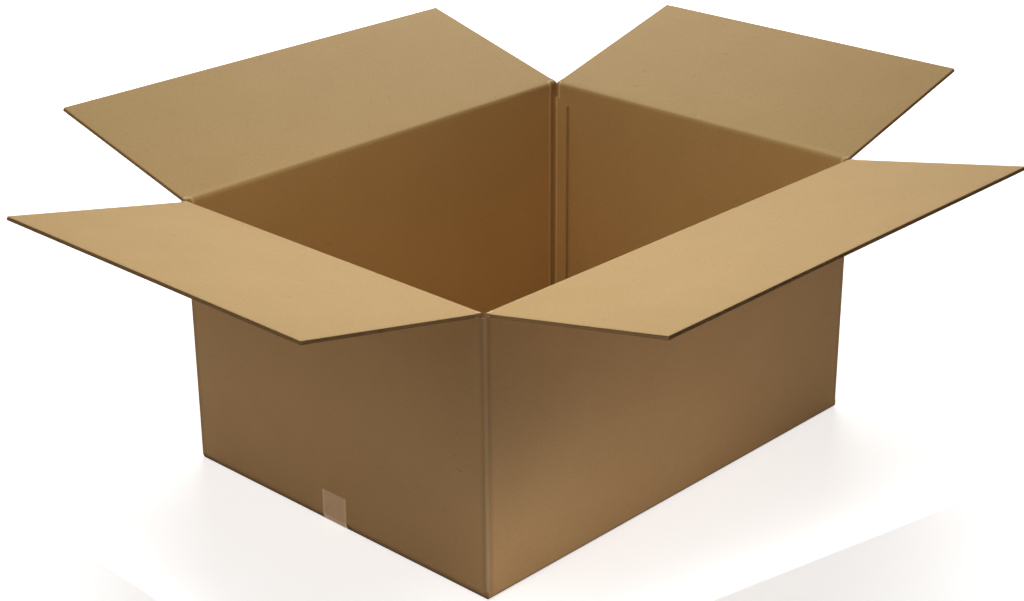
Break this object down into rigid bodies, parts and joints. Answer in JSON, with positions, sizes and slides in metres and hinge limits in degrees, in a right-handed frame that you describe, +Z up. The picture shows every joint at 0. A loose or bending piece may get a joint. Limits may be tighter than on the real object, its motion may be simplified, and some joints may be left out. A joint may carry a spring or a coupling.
{
  "type": "open cardboard shipping box",
  "caption": "Large open slotted carton of double-wall corrugated board, bottom flaps folded shut and taped, hinged top flaps standing open.",
  "frame": {"origin": "middle of the footprint, on the floor under the taped bottom seam", "axes": "+X along the long sides, +Y across to the back long side, +Z up"},
  "size_m": [1.4067, 1.2071, 0.5031],
  "materials": {
    "kraft_board": "matt brown kraft liner",
    "packing_tape": "buff plastic film, slightly glossy"
  },
  "bodies": {
    "carton": {"carton_body": "kraft_board", "bottom_tape": "packing_tape"},
    "front_flap": {"front_flap": "kraft_board"},
    "back_flap": {"back_flap": "kraft_board"},
    "left_flap": {"left_flap": "kraft_board"},
    "right_flap": {"right_flap": "kraft_board"}
  },
  "joints": [
    {"name": "front_crease", "type": "hinge", "parent": "carton", "child": "front_flap", "pos_m": [0, -0.30575, 0.42035], "axis": [-1, 0, 0], "range_deg": [-55, 168.7]},
    {"name": "back_crease", "type": "hinge", "parent": "carton", "child": "back_flap", "pos_m": [0, 0.30575, 0.42035], "axis": [1, 0, 0], "range_deg": [-58.7, 165]},
    {"name": "left_crease", "type": "hinge", "parent": "carton", "child": "left_flap", "pos_m": [-0.4065, 0, 0.4168], "axis": [0, 1, 0], "range_deg": [-97.5, 168.5]},
    {"name": "right_crease", "type": "hinge", "parent": "carton", "child": "right_flap", "pos_m": [0.4065, 0, 0.4168], "axis": [0, -1, 0], "range_deg": [-101.2, 164.8]}
  ]
}
